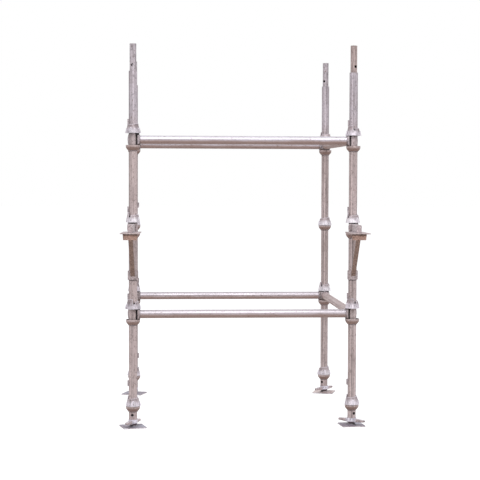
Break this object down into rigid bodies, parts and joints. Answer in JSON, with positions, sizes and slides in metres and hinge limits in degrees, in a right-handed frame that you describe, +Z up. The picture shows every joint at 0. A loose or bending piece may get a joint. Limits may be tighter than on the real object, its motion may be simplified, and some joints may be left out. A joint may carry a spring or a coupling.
{
  "type": "scaffold bay",
  "caption": "Square scaffold bay of galvanised steel tube: spigoted standards on screw jacks, joined by ledgers and transoms in twist-locked cup joints, with board brackets at the front.",
  "frame": {"origin": "on the ground under the axis of the front left standard", "axes": "+X along the front from left to right, +Y to the back, +Z up"},
  "size_m": [1.438, 1.681, 2.2005],
  "materials": {
    "galvanised_tube": "hot-dip galvanised, weathered, streaked and scratched",
    "cup_pressing": "hot-dip galvanised, brown stained",
    "cup_casting": "hot-dip galvanised casting, rough",
    "forged_blade": "hot-dip galvanised forging",
    "bracket_steel": "galvanised, brown and rust stained",
    "jack_steel": "galvanised, dirty and stained",
    "nut_casting": "galvanised casting"
  },
  "bodies": {
    "frame": {"standard_tube_front_left": "galvanised_tube", "bottom_cups_front_left": "cup_pressing", "standard_tube_front_right": "galvanised_tube", "bottom_cups_front_right": "cup_pressing", "standard_tube_back_left": "galvanised_tube", "bottom_cups_back_left": "cup_pressing", "standard_tube_back_right": "galvanised_tube", "bottom_cups_back_right": "cup_pressing", "locking_bars": "cup_pressing", "spigots": "galvanised_tube", "ledger_front_lower": "galvanised_tube", "ledger_front_lower_blades": "forged_blade", "ledger_front_upper": "galvanised_tube", "ledger_front_upper_blades": "forged_blade", "ledger_back_lower": "galvanised_tube", "ledger_back_lower_blades": "forged_blade", "ledger_back_upper": "galvanised_tube", "ledger_back_upper_blades": "forged_blade", "transom_left_lower": "galvanised_tube", "transom_left_lower_blades": "forged_blade", "transom_left_upper": "galvanised_tube", "transom_left_upper_blades": "forged_blade", "transom_right_lower": "galvanised_tube", "transom_right_lower_blades": "forged_blade", "transom_right_upper": "galvanised_tube", "transom_right_upper_blades": "forged_blade", "bracket_left_arm": "bracket_steel", "bracket_left_deck": "bracket_steel", "bracket_left_strut": "bracket_steel", "bracket_right_arm": "bracket_steel", "bracket_right_deck": "bracket_steel", "bracket_right_strut": "bracket_steel"},
    "top_cup_front_left_foot": {"top_cup_front_left_foot": "cup_casting"},
    "top_cup_front_left_lower": {"top_cup_front_left_lower": "cup_casting"},
    "top_cup_front_left_middle": {"top_cup_front_left_middle": "cup_casting"},
    "top_cup_front_left_upper": {"top_cup_front_left_upper": "cup_casting"},
    "top_cup_front_right_foot": {"top_cup_front_right_foot": "cup_casting"},
    "top_cup_front_right_lower": {"top_cup_front_right_lower": "cup_casting"},
    "top_cup_front_right_middle": {"top_cup_front_right_middle": "cup_casting"},
    "top_cup_front_right_upper": {"top_cup_front_right_upper": "cup_casting"},
    "top_cup_back_left_foot": {"top_cup_back_left_foot": "cup_casting"},
    "top_cup_back_left_lower": {"top_cup_back_left_lower": "cup_casting"},
    "top_cup_back_left_middle": {"top_cup_back_left_middle": "cup_casting"},
    "top_cup_back_left_upper": {"top_cup_back_left_upper": "cup_casting"},
    "top_cup_back_right_foot": {"top_cup_back_right_foot": "cup_casting"},
    "top_cup_back_right_lower": {"top_cup_back_right_lower": "cup_casting"},
    "top_cup_back_right_middle": {"top_cup_back_right_middle": "cup_casting"},
    "top_cup_back_right_upper": {"top_cup_back_right_upper": "cup_casting"},
    "wing_nut_front_left": {"wing_nut_front_left": "nut_casting"},
    "jack_front_left": {"jack_screw_front_left": "jack_steel", "base_plate_front_left": "jack_steel"},
    "wing_nut_front_right": {"wing_nut_front_right": "nut_casting"},
    "jack_front_right": {"jack_screw_front_right": "jack_steel", "base_plate_front_right": "jack_steel"},
    "wing_nut_back_left": {"wing_nut_back_left": "nut_casting"},
    "jack_back_left": {"jack_screw_back_left": "jack_steel", "base_plate_back_left": "jack_steel"},
    "wing_nut_back_right": {"wing_nut_back_right": "nut_casting"},
    "jack_back_right": {"jack_screw_back_right": "jack_steel", "base_plate_back_right": "jack_steel"}
  },
  "joints": [
    {"name": "top_cup_front_left_foot_lift", "type": "slide", "parent": "frame", "child": "top_cup_front_left_foot", "axis": [0, 0, 1], "range_m": [0, 0.4]},
    {"name": "top_cup_front_left_lower_turn", "type": "hinge", "parent": "frame", "child": "top_cup_front_left_lower", "pos_m": [0, 0, 0.6839], "axis": [0, 0, 1], "range_deg": [0, 260]},
    {"name": "top_cup_front_left_middle_turn", "type": "hinge", "parent": "frame", "child": "top_cup_front_left_middle", "pos_m": [0, 0, 1.1815], "axis": [0, 0, 1], "range_deg": [0, 304]},
    {"name": "top_cup_front_left_upper_turn", "type": "hinge", "parent": "frame", "child": "top_cup_front_left_upper", "pos_m": [0, 0, 1.692], "axis": [0, 0, 1], "range_deg": [0, 112]},
    {"name": "top_cup_front_right_foot_lift", "type": "slide", "parent": "frame", "child": "top_cup_front_right_foot", "axis": [0, 0, 1], "range_m": [0, 0.4]},
    {"name": "top_cup_front_right_lower_turn", "type": "hinge", "parent": "frame", "child": "top_cup_front_right_lower", "pos_m": [1.27, 0, 0.6845], "axis": [0, 0, 1], "range_deg": [0, 249]},
    {"name": "top_cup_front_right_middle_turn", "type": "hinge", "parent": "frame", "child": "top_cup_front_right_middle", "pos_m": [1.27, 0, 1.1803], "axis": [0, 0, 1], "range_deg": [0, 326]},
    {"name": "top_cup_front_right_upper_turn", "type": "hinge", "parent": "frame", "child": "top_cup_front_right_upper", "pos_m": [1.27, 0, 1.6835], "axis": [0, 0, 1], "range_deg": [0, 268]},
    {"name": "top_cup_back_left_foot_lift", "type": "slide", "parent": "frame", "child": "top_cup_back_left_foot", "axis": [0, 0, 1], "range_m": [0, 0.4]},
    {"name": "top_cup_back_left_lower_turn", "type": "hinge", "parent": "frame", "child": "top_cup_back_left_lower", "pos_m": [0, 1.27, 0.6855], "axis": [0, 0, 1], "range_deg": [0, 231]},
    {"name": "top_cup_back_left_middle_lift", "type": "slide", "parent": "frame", "child": "top_cup_back_left_middle", "axis": [0, 0, 1], "range_m": [0, 0.4]},
    {"name": "top_cup_back_left_upper_turn", "type": "hinge", "parent": "frame", "child": "top_cup_back_left_upper", "pos_m": [0, 1.27, 1.6845], "axis": [0, 0, 1], "range_deg": [0, 249]},
    {"name": "top_cup_back_right_foot_lift", "type": "slide", "parent": "frame", "child": "top_cup_back_right_foot", "axis": [0, 0, 1], "range_m": [0, 0.4]},
    {"name": "top_cup_back_right_lower_turn", "type": "hinge", "parent": "frame", "child": "top_cup_back_right_lower", "pos_m": [1.27, 1.27, 0.686], "axis": [0, 0, 1], "range_deg": [0, 222]},
    {"name": "top_cup_back_right_middle_lift", "type": "slide", "parent": "frame", "child": "top_cup_back_right_middle", "axis": [0, 0, 1], "range_m": [0, 0.4]},
    {"name": "top_cup_back_right_upper_turn", "type": "hinge", "parent": "frame", "child": "top_cup_back_right_upper", "pos_m": [1.27, 1.27, 1.684], "axis": [0, 0, 1], "range_deg": [0, 258]},
    {"name": "wing_nut_front_left_turn", "type": "hinge", "parent": "frame", "child": "wing_nut_front_left", "pos_m": [0, 0, 0.0455], "axis": [0, 0, 1], "range_deg": [0, 9000]},
    {"name": "jack_front_left_extend", "type": "slide", "parent": "frame", "child": "jack_front_left", "axis": [0, 0, -1], "range_m": [0, 0.2001]},
    {"name": "wing_nut_front_right_turn", "type": "hinge", "parent": "frame", "child": "wing_nut_front_right", "pos_m": [1.27, 0, 0.0455], "axis": [0, 0, 1], "range_deg": [0, 9000]},
    {"name": "jack_front_right_extend", "type": "slide", "parent": "frame", "child": "jack_front_right", "axis": [0, 0, -1], "range_m": [0, 0.2001]},
    {"name": "wing_nut_back_left_turn", "type": "hinge", "parent": "frame", "child": "wing_nut_back_left", "pos_m": [0, 1.27, 0.0455], "axis": [0, 0, 1], "range_deg": [0, 9000]},
    {"name": "jack_back_left_extend", "type": "slide", "parent": "frame", "child": "jack_back_left", "axis": [0, 0, -1], "range_m": [0, 0.2001]},
    {"name": "wing_nut_back_right_turn", "type": "hinge", "parent": "frame", "child": "wing_nut_back_right", "pos_m": [1.27, 1.27, 0.0455], "axis": [0, 0, 1], "range_deg": [0, 9000]},
    {"name": "jack_back_right_extend", "type": "slide", "parent": "frame", "child": "jack_back_right", "axis": [0, 0, -1], "range_m": [0, 0.2001]}
  ],
  "couplings": [
    {"joint": "jack_front_left_extend", "follows": "wing_nut_front_left_turn", "m_per_rad": 0.0012732},
    {"joint": "jack_front_right_extend", "follows": "wing_nut_front_right_turn", "m_per_rad": 0.0012732},
    {"joint": "jack_back_left_extend", "follows": "wing_nut_back_left_turn", "m_per_rad": 0.0012732},
    {"joint": "jack_back_right_extend", "follows": "wing_nut_back_right_turn", "m_per_rad": 0.0012732}
  ]
}
